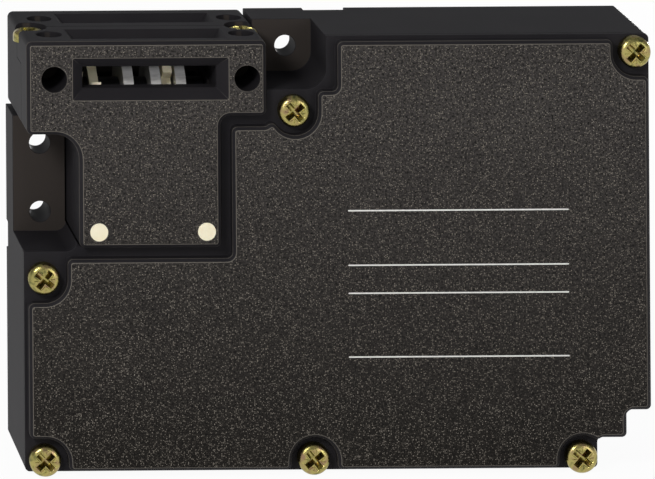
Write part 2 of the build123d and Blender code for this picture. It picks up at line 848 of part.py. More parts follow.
def plate_at(x, z, width, depth, thickness):
    """Flat strip centred on a contact's depth."""
    return Pos(x, contact_depth - body_depth, z) * Box(width, depth, thickness)


def tip_at(x, z, side):
    """Round contact tip that stands on a strip, on its upper or lower side."""
    near = z + side * strip_thickness / 2
    far = near + side * tip_contact_height
    return post(Pos(x, contact_depth - body_depth) * small_round(tip_contact_radius), min(near, far), max(near, far))


def tip_xs(x):
    """X places of the two contact tips of a bridge."""
    reach = bridge_length / 2 - tip_contact_radius - 0.4
    return (x - reach, x + reach)


def make_bridges(x, travel):
    """Moving contact bridges with their tips."""
    bridges = []
    for z, fixed_z, side in bridge_places(x, travel):
        bridge = plate_at(x, z, bridge_length, bridge_width, strip_thickness)
        for tip_x in tip_xs(x):
            bridge += tip_at(tip_x, z, side)
        bridges.append(bridge)
    return bridges


def fixed_contact(x, tip_x, fixed_z, side):
    """Fixed strip with its tip and the tab that takes the terminal screw."""
    outward = -1 if tip_x < x else 1
    outer = x + outward * (block_width / 2 - 0.4)
    inner = tip_x - outward * (tip_contact_radius + 0.2)
    left, right = min(outer, inner), max(outer, inner)
    tab_y = tab_depth - body_depth
    back_y = contact_depth + bridge_width / 2 - body_depth
    run = Pos((left + right) / 2, (tab_y + back_y) / 2, fixed_z) * Box(right - left, back_y - tab_y, strip_thickness)
    strip = run + tip_at(tip_x, fixed_z, -side)
    tab_x = outer - outward * tab_width / 2
    tab_z = fixed_z - side * (tab_height - strip_thickness) / 2
    tab = Pos(tab_x, tab_y + strip_thickness / 2, tab_z) * Box(tab_width, strip_thickness, tab_height)
    screw_z = fixed_z - side * (tab_height / 2 + 0.4)
    hole = slab(Pos(tab_x, screw_z) * small_round(terminal_shank_radius), 0, contact_depth)
    return strip + tab - hole, (tab_x, tab_y, screw_z)


def make_fixed_contacts(x, travel):
    """Fixed contacts of one block and the places of their terminal screws."""
    strips = []
    screws = []
    for z, fixed_z, side in bridge_places(x, travel):
        for tip_x in tip_xs(x):
            strip, place = fixed_contact(x, tip_x, fixed_z, side)
            strips.append(strip)
            screws.append(place)
    return strips, screws


def terminal_screws(places):
    """Slotted terminal screws facing the front."""
    screws = []
    for x, y, z in places:
        spot = Pos(x, z)
        front = y + body_depth
        screw = slab(spot * small_round(terminal_head_radius), front - terminal_head_height, front)
        screw += slab(spot * small_round(terminal_shank_radius), front, front + terminal_shank_length)
        slot = spot * Rectangle(terminal_head_radius * 3, terminal_slot)
        screws.append(screw - slab(slot, 0, front - terminal_head_height + terminal_slot))
    return screws


def carrier_top(travel):
    """Height of the carrier's top face, under the arm or the bar that moves it."""
    if travel < 0:
        return body_height - arm_drop - arm_height
    return body_height - bar_drop - bar_height


def carrier_low(places):
    """Height of the carrier's lower end, below its last bridge."""
    return places[-1][0] - strip_thickness / 2 - carrier_foot


def window(z, side):
    """Centre height and height of the window for one bridge and its spring."""
    return z - side * window_space / 2, strip_thickness + window_space


def make_carrier(x, travel):
    """Plastic slide with a window for each contact bridge and its spring."""
    places = bridge_places(x, travel)
    low = carrier_low(places)
    high = carrier_top(travel)
    centre_y = contact_depth - body_depth
    body = Pos(x, centre_y, (low + high) / 2) * Box(carrier_width, carrier_depth, high - low)
    body = chamfer(body.edges().filter_by(Axis.Z), 0.6)
    for z, fixed_z, side in places:
        mid, tall = window(z, side)
        body -= Pos(x, centre_y, mid) * Box(carrier_width + 1, bridge_width + 0.4, tall)
    neck_cut = block(x - carrier_width, x + carrier_width, 0, block_top_drop - 0.4, bar_front - 0.5, body_depth)
    return body - neck_cut if travel < 0 else body


def make_contact_springs(x, travel):
    """Small springs that press each bridge towards its fixed contacts."""
    springs = []
    for z, fixed_z, side in bridge_places(x, travel):
        coil = coil_spring(contact_spring_radius, contact_spring_wire, contact_spring_length, contact_spring_turns)
        reach = strip_thickness / 2 + spring_touch
        foot = z + reach if side < 0 else z - reach - contact_spring_length
        springs.append(Pos(x, contact_depth - body_depth, foot) * coil)
    return springs


def make_contact_base(x, travel):
    """Plastic base of one contact block, with a shaft for the carrier and slots for the strips."""
    strips, screws = make_fixed_contacts(x, travel)
    left, right = x - block_width / 2, x + block_width / 2
    low_drop = block_low_drop()
    back = body_depth - back_wall
    base = block(left, right, block_top_drop, low_drop, tab_depth + strip_thickness, back)
    base = chamfer(base.faces().sort_by(Axis.Y)[0].edges(), 0.5)
    shaft_half = carrier_width / 2 + carrier_gap
    shaft_back = contact_depth + carrier_depth / 2 + carrier_gap
    base -= block(x - shaft_half, x + shaft_half, block_top_drop - 1, low_drop - block_floor, 0, shaft_back)
    for x_screw, drop in cover_screw_places:
        base -= slab(disc_at(x_screw, drop, screw_boss_radius + seat_gap), 0, body_depth)
    swing_back = contact_depth + bridge_width / 2 + carrier_gap
    swing = bridge_length / 2 + carrier_gap
    for z, fixed_z, side in bridge_places(x, travel):
        edges = (z - strip_thickness - 0.2, z + strip_thickness + 0.2, z + travel, fixed_z)
        low, high = min(edges) - 0.8, max(edges) + 0.8
        top_drop = max(body_height - high, block_top_drop + 0.6)
        low_edge = min(body_height - low, low_drop - 0.6)
        base -= block(x - swing, x + swing, top_drop, low_edge, 0, swing_back)
    for strip in strips:
        base -= strip
    for x_screw, y, z in screws:
        hole = Pos(x_screw, z) * small_round(terminal_shank_radius)
        base -= slab(hole, 0, y + body_depth + terminal_shank_length)
    return base


def make_plunger_spring():
    """Return spring between the block's floor and the carrier."""
    places = bridge_places(tongue_block_x, -cam_rise)
    top = carrier_low(places)
    floor = body_height - block_low_drop() + block_floor
    length = top - floor - 2 * spring_touch
    spring = coil_spring(plunger_spring_radius, plunger_spring_wire, length, long_spring_turns)
    return Pos(tongue_block_x, contact_depth - body_depth, floor + spring_touch) * spring


def make_coil_terminals():
    """Terminal base of the coil and its two clamping screws."""
    half = coil_terminal_size / 2
    low = coil_terminal_drop + half / 2
    top = coil_terminal_drop - half / 2
    left, right = coil_terminal_x - half, coil_terminal_x + half
    front = body_depth - back_wall - coil_terminal_depth
    base = block(left, right, top, low, front, body_depth - back_wall)
    base = chamfer(base.faces().sort_by(Axis.Y)[0].edges(), 0.6)
    base -= block(coil_terminal_x - 0.6, coil_terminal_x + 0.6, top - 1, low + 1, 0, front + 4)
    places = []
    for x in (coil_terminal_x - half / 2, coil_terminal_x + half / 2):
        places.append((x, front - body_depth, body_height - coil_terminal_drop))
        hole = Pos(x, body_height - coil_terminal_drop) * small_round(terminal_shank_radius)
        base -= slab(hole, 0, front + terminal_shank_length)
    return base, terminal_screws(places)


def make_gasket():
    """Rubber gasket in the groove of the housing."""
    return slab(gasket_path(), joint_depth, joint_depth + gasket_depth)


def node(name, shape):
    """Write one sub-part, one solid or a group, measured from the centre of the rear face."""
    to_rear_centre = Pos(-body_width / 2, 0, -body_height / 2)
    pieces = shape if isinstance(shape, list) else [shape]
    kept = [to_rear_centre * solid for piece in pieces for solid in piece.solids()]
    export_step(Compound(children=kept) if len(kept) > 1 else kept[0], f"parts/{name}.step")


os.makedirs("parts", exist_ok=True)

front_shell, rear_shell = make_head_shells()
bobbin, winding = make_coil()
coil_base, coil_screws = make_coil_terminals()
node("housing", make_housing())
node("cover", make_cover())
node("cover_gasket", make_gasket())
node("cover_screws", make_cover_screws())
node("head_front_shell", front_shell)
node("head_rear_shell", rear_shell)
node("head_screws", make_head_screws())
node("head_dowels", make_head_dowels())
node("cam_axle", make_cam_axle())
node("cam_hub", make_cam_hub())
node("lock_disc", make_lock_disc())
node("coding_discs", make_coding_discs())
node("driver_disc", make_driver_disc())
node("actuating_cam", make_actuating_cam())
node("lock_bolt", make_lock_bolt())
node("bolt_spring", make_bolt_spring())
node("push_rod", make_push_rod())
node("armature", make_armature())
node("lock_bar", make_lock_bar())
node("solenoid_yoke", make_solenoid_yoke())
node("fixed_core", make_fixed_core())
node("coil_bobbin", bobbin)
node("coil_winding", winding)
node("coil_terminal_base", coil_base)
node("coil_terminal_screws", coil_screws)
node("plunger", make_plunger())
node("plunger_spring", make_plunger_spring())
for name, x, travel in (("tongue", tongue_block_x, -cam_rise), ("lock", lock_block_x, bolt_travel)):
    strips, screw_places = make_fixed_contacts(x, travel)
    node(f"{name}_contact_base", make_contact_base(x, travel))
    node(f"{name}_contact_carrier", make_carrier(x, travel))
    node(f"{name}_contact_bridges", make_bridges(x, travel))
    node(f"{name}_contact_springs", make_contact_springs(x, travel))
    node(f"{name}_fixed_contacts", strips)
    node(f"{name}_terminal_screws", terminal_screws(screw_places))
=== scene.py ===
from math import cos, pi, radians, sin
import bpy
from mathutils import Matrix, Vector


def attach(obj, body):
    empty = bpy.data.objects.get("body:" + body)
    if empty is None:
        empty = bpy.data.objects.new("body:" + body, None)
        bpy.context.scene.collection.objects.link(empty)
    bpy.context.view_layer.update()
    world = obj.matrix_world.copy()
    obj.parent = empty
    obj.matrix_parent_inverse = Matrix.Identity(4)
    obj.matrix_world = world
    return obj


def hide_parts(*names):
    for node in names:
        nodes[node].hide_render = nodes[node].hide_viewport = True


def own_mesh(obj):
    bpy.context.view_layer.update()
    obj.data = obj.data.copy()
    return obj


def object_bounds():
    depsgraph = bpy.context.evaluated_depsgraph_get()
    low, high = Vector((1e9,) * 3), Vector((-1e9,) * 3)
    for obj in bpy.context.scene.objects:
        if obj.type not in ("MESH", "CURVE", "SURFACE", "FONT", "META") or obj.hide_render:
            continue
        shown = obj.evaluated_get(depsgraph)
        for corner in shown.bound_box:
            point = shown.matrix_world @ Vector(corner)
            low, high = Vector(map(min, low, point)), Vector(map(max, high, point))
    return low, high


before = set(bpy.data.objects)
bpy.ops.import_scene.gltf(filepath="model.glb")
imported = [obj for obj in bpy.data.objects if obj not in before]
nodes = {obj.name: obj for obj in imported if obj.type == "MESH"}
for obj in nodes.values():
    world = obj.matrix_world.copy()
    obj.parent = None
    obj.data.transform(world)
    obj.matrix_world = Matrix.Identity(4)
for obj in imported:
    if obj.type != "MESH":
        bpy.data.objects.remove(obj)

cad_low, cad_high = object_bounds()
bpy.ops.object.select_all(action="DESELECT")

# The camera stands above and to the left of the switch, 1.1 m in front of it. Like a view camera
# whose back is kept parallel to the switch, it shows the front face without slant: its parent
# holds a lens axis that leans while the picture plane stays upright.
front_y = cad_low.y
picture_width = 0.1356
picture_roll = radians(0.4)
eye = Vector((-0.2156, front_y - 1.124, 0.2954))
aim = Vector((-0.00247, front_y, 0.00348))
lean = (eye - aim).normalized()

bpy.ops.object.empty_add()
camera_back = bpy.context.object
camera_back.name = "camera_back"
bpy.ops.object.camera_add()
camera = bpy.context.object
camera.name = "photo_camera"
camera.parent = camera_back
camera.matrix_parent_inverse = Matrix((
    (cos(picture_roll), sin(picture_roll), lean.x, eye.x),
    (0, 0, lean.y, eye.y),
    (-sin(picture_roll), cos(picture_roll), lean.z, eye.z),
    (0, 0, 0, 1),
))
camera.data.sensor_width = 36
camera.data.lens = camera.data.sensor_width * (eye - aim).length / picture_width
camera.data.clip_end = 10
bpy.context.scene.camera = camera
bpy.context.scene.view_settings.view_transform = "Standard"


# The studio: a room with white walls and a dim ceiling, and a sheet of white paper under the
# switch, which is bright to the lens and in reflections and still takes a soft shadow.
def linear(code):
    """Linear colour of an sRGB hex code."""
    parts = [int(code[start:start + 2], 16) / 255 for start in (1, 3, 5)]
    light = [part / 12.92 if part <= 0.04045 else ((part + 0.055) / 1.055) ** 2.4 for part in parts]
    return (*light, 1)


def add_node(tree, kind, settings=(), links=()):
    """Node of a kind in a tree, with its settings by name and its inputs' links."""
    node = tree.nodes.new(kind)
    for name, value in dict(settings).items():
        if isinstance(name, int) or name in node.inputs:
            node.inputs[name].default_value = value
        else:
            setattr(node, name, value)
    for name, source in dict(links).items():
        tree.links.new(source, node.inputs[name])
    return node


def seen_rays(tree):
    """1 for rays from the lens, from a reflection or through glass, and 0 for those that light things."""
    rays = add_node(tree, "ShaderNodeLightPath").outputs
    straight = add_node(
        tree, "ShaderNodeMath", {"operation": "MAXIMUM"},
        {0: rays["Is Camera Ray"], 1: rays["Is Transmission Ray"]},
    )
    seen = add_node(
        tree, "ShaderNodeMath", {"operation": "MAXIMUM"},
        {0: straight.outputs[0], 1: rays["Is Glossy Ray"]},
    )
    return seen.outputs[0]


# The walls end and the ceiling begins by how steeply a ray of length 1 rises.
wall_top = 0.12
ceiling_edge = 0.3
daylight = 0.4
world = bpy.data.worlds.new("white_room")
world.use_nodes = True
bpy.context.scene.world = world
room = world.node_tree
room.nodes.clear()
ways = add_node(room, "ShaderNodeTexCoord")
rise = add_node(room, "ShaderNodeSeparateXYZ", {}, {0: ways.outputs["Generated"]})
upward = add_node(
    room, "ShaderNodeMapRange", {"From Min": wall_top, "From Max": ceiling_edge}, {0: rise.outputs[2]}
)
walls = add_node(
    room, "ShaderNodeMixRGB", {"Color1": linear("#ffffff"), "Color2": linear("#8e8f92")},
    {0: upward.outputs[0]},
)
dim = add_node(room, "ShaderNodeBackground", {"Color": linear("#ffffff"), "Strength": daylight})
white = add_node(room, "ShaderNodeBackground", {"Strength": 1.0}, {"Color": walls.outputs[0]})
blend = add_node(
    room, "ShaderNodeMixShader", {}, {0: seen_rays(room), 1: dim.outputs[0], 2: white.outputs[0]}
)
add_node(room, "ShaderNodeOutputWorld", {}, {0: blend.outputs[0]})

# White paper, uncoated: it scatters light evenly and has next to no gloss.
paper_size = 6
glow_share = 0.95
bpy.ops.mesh.primitive_plane_add(size=paper_size, location=(0, 0, cad_low.z))
floor = bpy.context.object
floor.name = "paper_sweep"
paper = bpy.data.materials.new("white_paper")
paper.use_nodes = True
tree = paper.node_tree
matt = tree.nodes["Principled BSDF"]
matt.inputs["Base Color"].default_value = linear("#f2f2f2")
matt.inputs["Roughness"].default_value = 0.95
matt.inputs["Specular IOR Level"].default_value = 0.1
share = add_node(tree, "ShaderNodeMath", {"operation": "MULTIPLY", 1: glow_share}, {0: seen_rays(tree)})
glow = add_node(tree, "ShaderNodeEmission", {"Color": linear("#ffffff"), "Strength": 1.0})
sheet = add_node(
    tree, "ShaderNodeMixShader", {}, {0: share.outputs[0], 1: matt.outputs[0], 2: glow.outputs[0]}
)
tree.links.new(sheet.outputs[0], tree.nodes["Material Output"].inputs[0])
floor.data.materials.append(paper)


def soft_box(name, place, size, power):
    """Square area lamp that faces the switch."""
    bpy.ops.object.light_add(type="AREA", location=place)
    lamp = bpy.context.object
    lamp.name = name
    lamp.data.size = size
    lamp.data.energy = power
    lamp.rotation_mode = "QUATERNION"
    lamp.rotation_quaternion = (-Vector(place)).to_track_quat("-Z", "Y")


# The key light stands at the upper left, and the fill light at the right. A small one behind the
# switch keeps its back from going black.
soft_box("key_box", (-0.38, -0.50, 0.38), 0.16, 2.6)
soft_box("fill_box", (0.7, -1.1, 0.25), 0.5, 2.4)
soft_box("back_box", (0.36, 0.72, 0), 0.08, 3.6)


# Housing: a deep black tub with two lugs and three cable entries, injection moulded in
# glass-filled polyamide. The mould's front side is spark-eroded, which leaves a dull grain with
# pale glass specks; its drawn sides are smoother and bluer.
def begin_finish(name, roughness, metallic=0):
    """New material with its tree, its shader and the points on the piece that its patterns use."""
    finish = bpy.data.materials.new(name)
    finish.use_nodes = True
    tree = finish.node_tree
    skin = tree.nodes["Principled BSDF"]
    skin.inputs["Roughness"].default_value = roughness
    skin.inputs["Metallic"].default_value = metallic
    return finish, tree, skin, add_node(tree, "ShaderNodeTexCoord").outputs["Object"]


def finish_in(material, *pieces):
    """Give pieces one material all over."""
    for piece in pieces:
        piece.data.materials.clear()
        piece.data.materials.append(material)


# Black PA 66 with 30 % glass: a dull black with a warm dusty bloom and pale specks, darker towards the
# bottom of the face, lighter where the eroded grain stands towards the front, and with a faint gloss where
# it was drawn.
polyamide, tree, skin, point = begin_finish("glass_filled_polyamide", 0.6)
# One look gives way to the next between two depths, and on the panel between two heights.
panel_band = (-0.0294, -0.0298)
rim_band = (-0.0284, -0.0288)
lug_band = (-0.0205, -0.0195)
height_band = (-0.05, 0.03)
facing = add_node(tree, "ShaderNodeSeparateXYZ", {}, {0: point.node.outputs["Normal"]})
forward = add_node(tree, "ShaderNodeMath", {"operation": "MULTIPLY", 1: -1}, {0: facing.outputs[1]})
flat = add_node(tree, "ShaderNodeMapRange", {"From Min": 0.965, "From Max": 0.99}, {0: forward.outputs[0]})
spot = add_node(tree, "ShaderNodeSeparateXYZ", {}, {0: point})
raised = add_node(
    tree, "ShaderNodeMapRange", {"From Min": panel_band[0], "From Max": panel_band[1]}, {0: spot.outputs[1]}
)
front = add_node(
    tree, "ShaderNodeMath", {"operation": "MULTIPLY"}, {0: flat.outputs[0], 1: raised.outputs[0]}
)
rim = add_node(
    tree, "ShaderNodeMapRange", {"From Min": rim_band[0], "From Max": rim_band[1]}, {0: spot.outputs[1]}
)
# Edges are painted pale as a highlight on the narrow roundings, which also stands for rubbing by handling:
# the ramp picks out the narrow roundings by the way they face.
edge_highlight_ramp = add_node(tree, "ShaderNodeValToRGB", {}, {0: forward.outputs[0]})
for stop, amount in ((0.12, 0), (0.36, 0.55), (0.6, 0), (0.8, 0), (0.92, 1), (0.985, 0)):
    mark = edge_highlight_ramp.color_ramp.elements.new(stop)
    mark.color = (amount, amount, amount, 1)
edge_highlight_ramp.color_ramp.elements[0].color = (0, 0, 0, 1)
edge_highlight_ramp.color_ramp.elements[-1].color = (0, 0, 0, 1)
edge_wear_and_highlight = add_node(
    tree, "ShaderNodeMath", {"operation": "MULTIPLY"}, {0: edge_highlight_ramp.outputs[0], 1: rim.outputs[0]}
)
# Real specks are about 0.1 mm, too fine for the picture, so they are drawn at 0.3 mm. The pits of
# the spark erosion are as fine and are drawn at 0.5 mm. The bloom lies in clouds of 11 mm.
speck_size = 0.0003
pit_size = 0.0005
cloud_size = 0.011
specks = add_node(tree, "ShaderNodeTexVoronoi", {"Scale": 1 / speck_size}, {0: point})
dots = add_node(
    tree, "ShaderNodeMapRange", {"From Min": 0.5, "From Max": 0.18}, {0: specks.outputs["Distance"]}
)
chance = add_node(tree, "ShaderNodeSeparateXYZ", {}, {0: specks.outputs["Color"]})
luck = add_node(tree, "ShaderNodeMath", {"operation": "POWER", 1: 2.2}, {0: chance.outputs[0]})
pale = add_node(
    tree, "ShaderNodeMath", {"operation": "MULTIPLY"}, {0: dots.outputs[0], 1: luck.outputs[0]}
)
mottle = add_node(
    tree, "ShaderNodeTexNoise", {"Scale": 1 / pit_size, "Detail": 3, "Roughness": 0.7}, {0: point}
)
painted_pit_shade = add_node(tree, "ShaderNodeMapRange", {"From Min": 0.55, "From Max": 0.36}, {0: mottle.outputs[0]})
bloom = add_node(tree, "ShaderNodeTexNoise", {"Scale": 1 / cloud_size, "Detail": 3}, {0: point})
# The face colour is darker towards the bottom and lighter towards the top.
toward_top = add_node(
    tree, "ShaderNodeMapRange", {"From Min": height_band[0], "From Max": height_band[1]}, {0: spot.outputs[2]}
)
side = add_node(
    tree, "ShaderNodeMixRGB", {"Color1": linear("#1c1b1e"), "Color2": linear("#262426")},
    {0: bloom.outputs[0]},
)
low_face = add_node(
    tree, "ShaderNodeMixRGB", {"Color1": linear("#171411"), "Color2": linear("#1f1c18")},
    {0: bloom.outputs[0]},
)
high_face = add_node(
    tree, "ShaderNodeMixRGB", {"Color1": linear("#363332"), "Color2": linear("#423f3d")},
    {0: bloom.outputs[0]},
)
face = add_node(
    tree, "ShaderNodeMixRGB", {}, {0: toward_top.outputs[0], 1: low_face.outputs[0], 2: high_face.outputs[0]}
)
# The pits of the grain are darkened with painted shade.
pit_shaded_face = add_node(
    tree, "ShaderNodeMixRGB", {"Color2": linear("#0e0d0c")}, {0: painted_pit_shade.outputs[0], 1: face.outputs[0]}
)
speckled = add_node(
    tree, "ShaderNodeMixRGB", {"Color2": linear("#8c857b")}, {0: pale.outputs[0], 1: pit_shaded_face.outputs[0]}
)
# Flat faces behind the panel, such as the lugs, take a paler colour: painted light, as if the lamps fell on
# them.
behind = add_node(
    tree, "ShaderNodeMapRange", {"From Min": lug_band[0], "From Max": lug_band[1]}, {0: spot.outputs[1]}
)
painted_light_lug_face = add_node(
    tree, "ShaderNodeMath", {"operation": "MULTIPLY"}, {0: flat.outputs[0], 1: behind.outputs[0]}
)
smooth_with_painted_light = add_node(
    tree, "ShaderNodeMixRGB", {"Color2": linear("#37322f")}, {0: painted_light_lug_face.outputs[0], 1: side.outputs[0]}
)
coat = add_node(
    tree, "ShaderNodeMixRGB", {}, {0: front.outputs[0], 1: smooth_with_painted_light.outputs[0], 2: speckled.outputs[0]}
)
# The pale edge colour is a painted highlight, mixed with rubbing by handling.
worn_and_highlighted = add_node(
    tree, "ShaderNodeMixRGB", {"Color2": linear("#6f6a62")}, {0: edge_wear_and_highlight.outputs[0], 1: coat.outputs[0]}
)
tree.links.new(worn_and_highlighted.outputs[0], skin.inputs["Base Color"])
relief = add_node(tree, "ShaderNodeMapRange", {"To Min": 0.1, "To Max": 0.7}, {0: front.outputs[0]})
bump = add_node(
    tree, "ShaderNodeBump", {"Distance": 0.00012},
    {"Strength": relief.outputs[0], "Height": mottle.outputs[0]},
)
tree.links.new(bump.outputs[0], skin.inputs["Normal"])
skin.inputs["IOR"].default_value = 1.53
skin.inputs["Specular IOR Level"].default_value = 0.07


def cad_copy(name):
    """Copy of a CAD node as a piece of its own, with its triangles joined into plain faces."""
    bpy.ops.object.select_all(action="DESELECT")
    nodes[name].select_set(True)
    bpy.context.view_layer.objects.active = nodes[name]
    bpy.ops.object.duplicate()
    piece = bpy.context.object
    for key in list(piece.keys()):
        del piece[key]
    bpy.ops.object.mode_set(mode="EDIT")
    bpy.ops.mesh.select_all(action="SELECT")
    bpy.ops.mesh.remove_doubles(threshold=0.000001)
    bpy.ops.mesh.dissolve_limited(angle_limit=radians(0.5))
    bpy.ops.object.mode_set(mode="OBJECT")
    return piece


def round_edges(piece, radius, corners="MITER_SHARP"):
    """Round a piece's sharp edges and shade it smooth across them."""
    rounding = piece.modifiers.new("edge_rounding", "BEVEL")
    rounding.width = radius
    rounding.segments = 2
    rounding.limit_method = "ANGLE"
    rounding.angle_limit = radians(25)
    rounding.miter_outer = corners
    rounding.use_clamp_overlap = False
    bpy.context.view_layer.objects.active = piece
    bpy.ops.object.modifier_apply(modifier=rounding.name)
    bpy.ops.object.shade_smooth_by_angle(angle=radians(35))
    flats = piece.modifiers.new("flat_faces_stay_flat", "WEIGHTED_NORMAL")
    flats.weight = 100
    flats.keep_sharp = True
    bpy.ops.object.modifier_apply(modifier=flats.name)


def stand_for(piece, name, body, slot, *node_names):
    """Name a piece, and let it ride on a body in place of CAD nodes."""
    piece.name = name
    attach(piece, body)
    if node_names:
        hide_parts(*node_names)


# Round corners, because sharp ones drew a spike out of the tub where its edges meet.
tub = cad_copy("housing")
round_edges(tub, 0.0001, "MITER_ARC")
finish_in(polyamide, tub)
stand_for(tub, "moulded_tub", "switch_body", "black_plastic", "housing")

# Cable entries: three M16 x 1.5 threads for glands, moulded in the wall and drawn by unscrewing
# the core. Their crests stand a little inside the bore, as a ridge that winds in four turns.
bore_radius = 0.0073
ridge_radius = 0.00036
thread_pitch = 0.0015
thread_turns = 4
steps_a_turn = 40
entries = (
    ((0.0360, -0.0145, -0.0446), 0),
    ((0.0646, -0.0145, 0.0150), -pi / 2),
    ((0.0646, -0.0145, -0.0110), -pi / 2),
)
for number, (mouth, tilt) in enumerate(entries, 1):
    bpy.ops.object.select_all(action="DESELECT")
    bpy.ops.mesh.primitive_circle_add(
        vertices=4, radius=ridge_radius, location=(bore_radius, 0, 0), rotation=(pi / 2, 0, 0)
    )
    thread = bpy.context.object
    bpy.ops.object.transform_apply(location=True, rotation=True, scale=True)
    winding = thread.modifiers.new("thread_pitch", "SCREW")
    winding.screw_offset = thread_pitch
    winding.iterations = thread_turns
    winding.steps = steps_a_turn
    winding.render_steps = steps_a_turn
    bpy.ops.object.modifier_apply(modifier=winding.name)
    bpy.ops.object.mode_set(mode="EDIT")
    bpy.ops.mesh.select_all(action="SELECT")
    bpy.ops.mesh.fill_holes(sides=4)
    bpy.ops.mesh.remove_doubles(threshold=0.000001)
    bpy.ops.mesh.normals_make_consistent(inside=False)
    bpy.ops.object.mode_set(mode="OBJECT")
    bpy.ops.object.shade_smooth_by_angle(angle=radians(30))
    thread.rotation_euler = (0, tilt, 0)
    thread.location = mouth
    bpy.ops.object.transform_apply(location=True, rotation=True, scale=True)
    finish_in(polyamide, thread)
    stand_for(thread, f"entry_thread_{number}", "switch_body", "black_plastic")

# Gasket: a moulded ring of nitrile rubber that lies in the groove along the tub's rim, dull black
# with a greyish bloom.
rubber, tree, skin, point = begin_finish("nitrile_rubber", 0.75)
bloom = add_node(tree, "ShaderNodeTexNoise", {"Scale": 1 / 0.003, "Detail": 4}, {0: point})
tone = add_node(
    tree, "ShaderNodeMixRGB", {"Color1": linear("#151515"), "Color2": linear("#272625")},
    {0: bloom.outputs[0]},
)
tree.links.new(tone.outputs[0], skin.inputs["Base Color"])
skin.inputs["IOR"].default_value = 1.52
finish_in(rubber, nodes["cover_gasket"])

# Solenoid: a folded steel yoke round a bobbin of enamelled copper wire, with a fixed core and an
# armature that lifts the push rod. The yoke is bent from zinc-plated strip, and the core,
# armature, rod and cross bar are turned or cut from bright free-cutting steel.

# Free-cutting steel, turned bright: a clean light grey with fine marks of the tool round it.
bright_steel, tree, skin, point = begin_finish("bright_free_cutting_steel", 0.32, 1)
# Tool marks are about 0.02 mm apart; they are drawn at 0.2 mm so that they show.
stretch = add_node(tree, "ShaderNodeMapping", {"Scale": (0.12, 1, 1)}, {0: point})
marks = add_node(tree, "ShaderNodeTexNoise", {"Scale": 1 / 0.0002, "Detail": 3}, {0: stretch.outputs[0]})
cloud = add_node(tree, "ShaderNodeTexNoise", {"Scale": 1 / 0.004, "Detail": 2}, {0: point})
tone = add_node(
    tree, "ShaderNodeMixRGB", {"Color1": linear("#b4b2ad"), "Color2": linear("#dcdad5")},
    {0: cloud.outputs[0]},
)
tree.links.new(tone.outputs[0], skin.inputs["Base Color"])
polish = add_node(tree, "ShaderNodeMapRange", {"To Min": 0.22, "To Max": 0.42}, {0: marks.outputs[0]})
tree.links.new(polish.outputs[0], skin.inputs["Roughness"])
bump = add_node(
    tree, "ShaderNodeBump", {"Strength": 0.25, "Distance": 0.00002}, {"Height": marks.outputs[0]}
)
tree.links.new(bump.outputs[0], skin.inputs["Normal"])

# Zinc-plated strip: a bluish grey with a faint spangle of about 1.2 mm.
plated_strip, tree, skin, point = begin_finish("zinc_plated_strip", 0.4, 1)
spangle = add_node(tree, "ShaderNodeTexVoronoi", {"Scale": 1 / 0.0012}, {0: point})
tone = add_node(
    tree, "ShaderNodeMixRGB", {"Color1": linear("#a9adb2"), "Color2": linear("#ccd0d3")},
    {0: spangle.outputs["Color"]},
)
tree.links.new(tone.outputs[0], skin.inputs["Base Color"])
polish = add_node(
    tree, "ShaderNodeMapRange", {"From Max": 0.6, "To Min": 0.3, "To Max": 0.5},
    {0: spangle.outputs["Distance"]},
)
tree.links.new(polish.outputs[0], skin.inputs["Roughness"])

# Polybutylene terephthalate with glass: jet black, smoother and glossier than the polyamide.
terephthalate, tree, skin, point = begin_finish("polybutylene_terephthalate", 0.35)
flow = add_node(
    tree, "ShaderNodeTexNoise", {"Scale": 1 / 0.002, "Detail": 3, "Distortion": 1.5}, {0: point}
)
tone = add_node(
    tree, "ShaderNodeMixRGB", {"Color1": linear("#141416"), "Color2": linear("#202124")},
    {0: flow.outputs[0]},
)
tree.links.new(tone.outputs[0], skin.inputs["Base Color"])
polish = add_node(tree, "ShaderNodeMapRange", {"To Min": 0.28, "To Max": 0.45}, {0: flow.outputs[0]})
tree.links.new(polish.outputs[0], skin.inputs["Roughness"])
skin.inputs["IOR"].default_value = 1.57

# Enamelled copper wire: a clear amber lacquer over red metal, in rows 0.35 mm apart. At a scale of
# 1 the wave pattern repeats every 0.314 m.
row_pitch = 0.00035
copper, tree, skin, point = begin_finish("enamelled_copper_wire", 0.25, 1)
rows = add_node(
    tree, "ShaderNodeTexWave",
    {"bands_direction": "Z", "Scale": 0.314 / row_pitch, "Distortion": 0.3}, {0: point},
)
tone = add_node(
    tree, "ShaderNodeMixRGB", {"Color1": linear("#6e2f18"), "Color2": linear("#d07a47")},
    {0: rows.outputs["Fac"]},
)
tree.links.new(tone.outputs[0], skin.inputs["Base Color"])
bump = add_node(
    tree, "ShaderNodeBump", {"Strength": 0.8, "Distance": 0.00012}, {"Height": rows.outputs["Fac"]}
)
tree.links.new(bump.outputs[0], skin.inputs["Normal"])
skin.inputs["Coat Weight"].default_value = 0.6

finish_in(plated_strip, nodes["solenoid_yoke"], nodes["coil_terminal_screws"])
finish_in(terephthalate, nodes["coil_bobbin"], nodes["coil_terminal_base"])
finish_in(copper, nodes["coil_winding"])
finish_in(bright_steel, nodes["fixed_core"], nodes["armature"], nodes["push_rod"], nodes["lock_bar"])

# Contact blocks: a black moulded base for each, with three bridges of silvered brass strip that an
# ivory carrier moves against six fixed contacts. Small plated screws clamp the wires.

